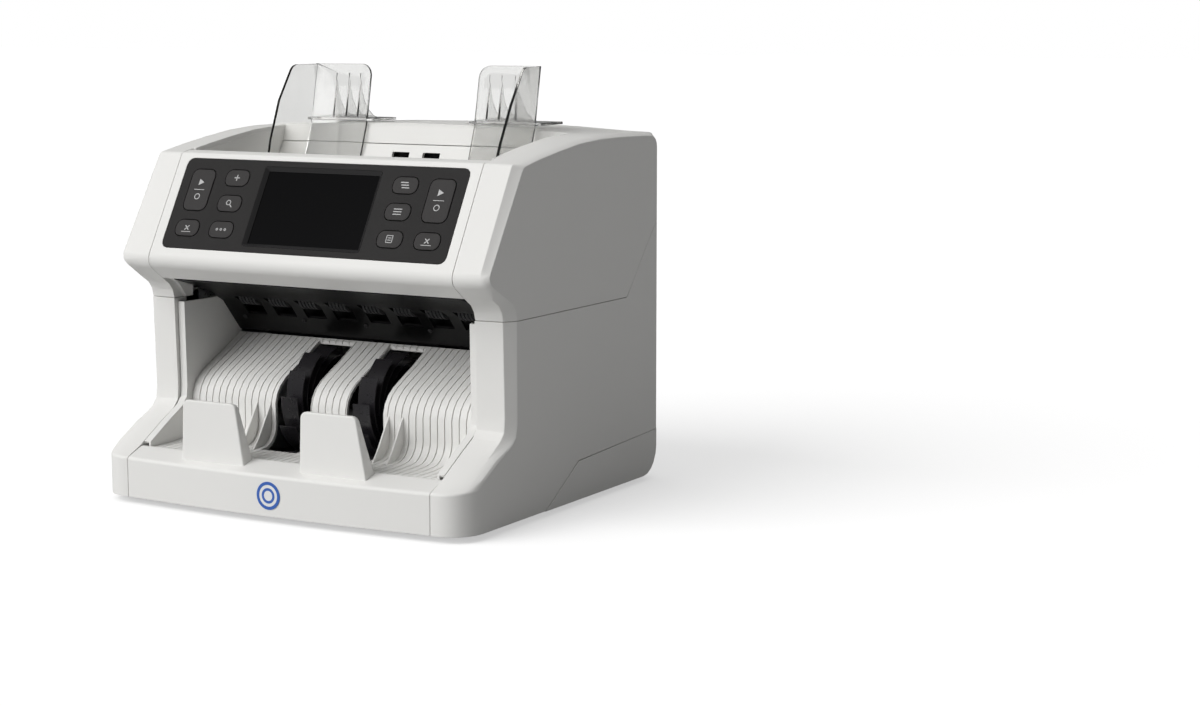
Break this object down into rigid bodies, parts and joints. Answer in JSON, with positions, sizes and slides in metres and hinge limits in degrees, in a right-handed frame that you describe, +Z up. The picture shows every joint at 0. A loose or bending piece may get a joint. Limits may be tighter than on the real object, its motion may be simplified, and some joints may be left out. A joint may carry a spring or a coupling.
{
  "type": "banknote counting machine",
  "caption": "Table-top banknote counter with a sloping key panel and display, a top hopper with sliding clear guides, and an open front stacker with finger wheels.",
  "frame": {"origin": "on the table, under the middle of the machine's bounding box", "axes": "+X to the machine's right, +Y to its back, +Z up"},
  "size_m": [0.3, 0.27, 0.2971],
  "materials": {
    "white_plastic": "fine satin moulded plastic",
    "dark_panel": "satin film overlay",
    "key_plastic": null,
    "black_plastic": "black moulded plastic",
    "display_glass": "glossy black window",
    "clear_plastic": "clear, slightly smoky moulded plastic",
    "roller_rubber": "matt rubber",
    "wheel_rubber": "flexible black leaves",
    "steel": "zinc plated steel",
    "aluminium_case": "folded sheet case",
    "board_green": "solder mask",
    "badge_blue": "printed roundel",
    "nylon": "natural nylon"
  },
  "bodies": {
    "casing": {"base_pan": "white_plastic", "left_lower_side": "white_plastic", "right_lower_side": "white_plastic", "rear_panel": "white_plastic", "front_deck": "white_plastic", "upper_casing": "white_plastic", "fascia": "white_plastic", "keypad_panel": "dark_panel", "display_window": "display_glass", "display_module": "black_plastic", "keypad_board": "board_green", "front_badge": "badge_blue", "front_left_foot": "roller_rubber", "front_right_foot": "roller_rubber", "rear_left_foot": "roller_rubber", "rear_right_foot": "roller_rubber", "hopper_back_plate": "white_plastic", "hopper_front_wall": "white_plastic", "hopper_sensor": "black_plastic", "stacker_plate": "white_plastic", "left_bay_side": "white_plastic", "right_bay_side": "white_plastic", "exit_housing": "black_plastic", "left_frame_plate": "steel", "right_frame_plate": "steel", "tie_bar": "steel", "front_image_sensor": "black_plastic", "rear_image_sensor": "black_plastic", "main_board": "board_green", "power_supply": "aluminium_case", "mains_inlet": "black_plastic", "data_port": "black_plastic", "main_motor": "steel", "drive_belt": "roller_rubber"},
    "left_start_key": {"left_start_key": "key_plastic"},
    "left_clear_key": {"left_clear_key": "key_plastic"},
    "add_key": {"add_key": "key_plastic"},
    "detect_key": {"detect_key": "key_plastic"},
    "mode_key": {"mode_key": "key_plastic"},
    "batch_key": {"batch_key": "key_plastic"},
    "menu_key": {"menu_key": "key_plastic"},
    "report_key": {"report_key": "key_plastic"},
    "right_start_key": {"right_start_key": "key_plastic"},
    "right_clear_key": {"right_clear_key": "key_plastic"},
    "power_switch": {"power_switch": "black_plastic"},
    "rear_door": {"rear_door": "white_plastic"},
    "left_guide": {"left_guide": "clear_plastic", "left_rack": "nylon"},
    "right_guide": {"right_guide": "clear_plastic", "right_rack": "nylon"},
    "guide_pinion": {"guide_pinion": "nylon"},
    "feed_drum": {"feed_drum": "roller_rubber"},
    "pickup_roller": {"pickup_roller": "roller_rubber"},
    "exit_roller": {"exit_roller": "roller_rubber"},
    "stacker": {"stacker_shaft": "steel", "left_stacker_wheel": "wheel_rubber", "right_stacker_wheel": "wheel_rubber"},
    "motor_pulley": {"motor_pulley": "steel"}
  },
  "joints": [
    {"name": "left_start_key_press", "type": "slide", "parent": "casing", "child": "left_start_key", "axis": [0, 0.8704, -0.4924], "range_m": [0, 0.001], "stiffness_N_per_m": 300},
    {"name": "left_clear_key_press", "type": "slide", "parent": "casing", "child": "left_clear_key", "axis": [0, 0.8704, -0.4924], "range_m": [0, 0.001], "stiffness_N_per_m": 300},
    {"name": "add_key_press", "type": "slide", "parent": "casing", "child": "add_key", "axis": [0, 0.8704, -0.4924], "range_m": [0, 0.001], "stiffness_N_per_m": 300},
    {"name": "detect_key_press", "type": "slide", "parent": "casing", "child": "detect_key", "axis": [0, 0.8704, -0.4924], "range_m": [0, 0.001], "stiffness_N_per_m": 300},
    {"name": "mode_key_press", "type": "slide", "parent": "casing", "child": "mode_key", "axis": [0, 0.8704, -0.4924], "range_m": [0, 0.001], "stiffness_N_per_m": 300},
    {"name": "batch_key_press", "type": "slide", "parent": "casing", "child": "batch_key", "axis": [0, 0.8704, -0.4924], "range_m": [0, 0.001], "stiffness_N_per_m": 300},
    {"name": "menu_key_press", "type": "slide", "parent": "casing", "child": "menu_key", "axis": [0, 0.8704, -0.4924], "range_m": [0, 0.001], "stiffness_N_per_m": 300},
    {"name": "report_key_press", "type": "slide", "parent": "casing", "child": "report_key", "axis": [0, 0.8704, -0.4924], "range_m": [0, 0.001], "stiffness_N_per_m": 300},
    {"name": "right_start_key_press", "type": "slide", "parent": "casing", "child": "right_start_key", "axis": [0, 0.8704, -0.4924], "range_m": [0, 0.001], "stiffness_N_per_m": 300},
    {"name": "right_clear_key_press", "type": "slide", "parent": "casing", "child": "right_clear_key", "axis": [0, 0.8704, -0.4924], "range_m": [0, 0.001], "stiffness_N_per_m": 300},
    {"name": "power_switch_rock", "type": "hinge", "parent": "casing", "child": "power_switch", "pos_m": [0.092, 0.131, 0.092], "axis": [-1, 0, 0], "range_deg": [0, 16]},
    {"name": "rear_door_hinge", "type": "hinge", "parent": "casing", "child": "rear_door", "pos_m": [0, 0.1332, 0.0606], "axis": [-1, 0, 0], "range_deg": [0, 80]},
    {"name": "left_guide_slide", "type": "slide", "parent": "casing", "child": "left_guide", "axis": [1, 0, 0], "range_m": [-0.018, 0.038]},
    {"name": "right_guide_slide", "type": "slide", "parent": "casing", "child": "right_guide", "axis": [-1, 0, 0], "range_m": [-0.018, 0.038]},
    {"name": "guide_pinion_spin", "type": "hinge", "parent": "casing", "child": "guide_pinion", "pos_m": [0, 0.068, 0.241], "axis": [0, 0, 1], "range_deg": [-148, 312]},
    {"name": "feed_drum_spin", "type": "hinge", "parent": "casing", "child": "feed_drum", "pos_m": [0, 0.022, 0.122], "axis": [1, 0, 0], "continuous": true},
    {"name": "pickup_roller_spin", "type": "hinge", "parent": "casing", "child": "pickup_roller", "pos_m": [0, 0.005, 0.163], "axis": [1, 0, 0], "continuous": true},
    {"name": "exit_roller_spin", "type": "hinge", "parent": "casing", "child": "exit_roller", "pos_m": [0, -0.027, 0.137], "axis": [1, 0, 0], "continuous": true},
    {"name": "stacker_spin", "type": "hinge", "parent": "casing", "child": "stacker", "pos_m": [0, -0.028, 0.057], "axis": [1, 0, 0], "continuous": true},
    {"name": "motor_pulley_spin", "type": "hinge", "parent": "casing", "child": "motor_pulley", "pos_m": [0.1265, 0.075, 0.06], "axis": [1, 0, 0], "continuous": true}
  ],
  "couplings": [
    {"joint": "right_guide_slide", "follows": "left_guide_slide", "ratio": 1},
    {"joint": "guide_pinion_spin", "follows": "left_guide_slide", "rad_per_m": 142.86},
    {"joint": "pickup_roller_spin", "follows": "feed_drum_spin", "ratio": 2},
    {"joint": "exit_roller_spin", "follows": "feed_drum_spin", "ratio": 3},
    {"joint": "stacker_spin", "follows": "feed_drum_spin", "ratio": 1.2857},
    {"joint": "motor_pulley_spin", "follows": "feed_drum_spin", "ratio": 2.5714}
  ]
}
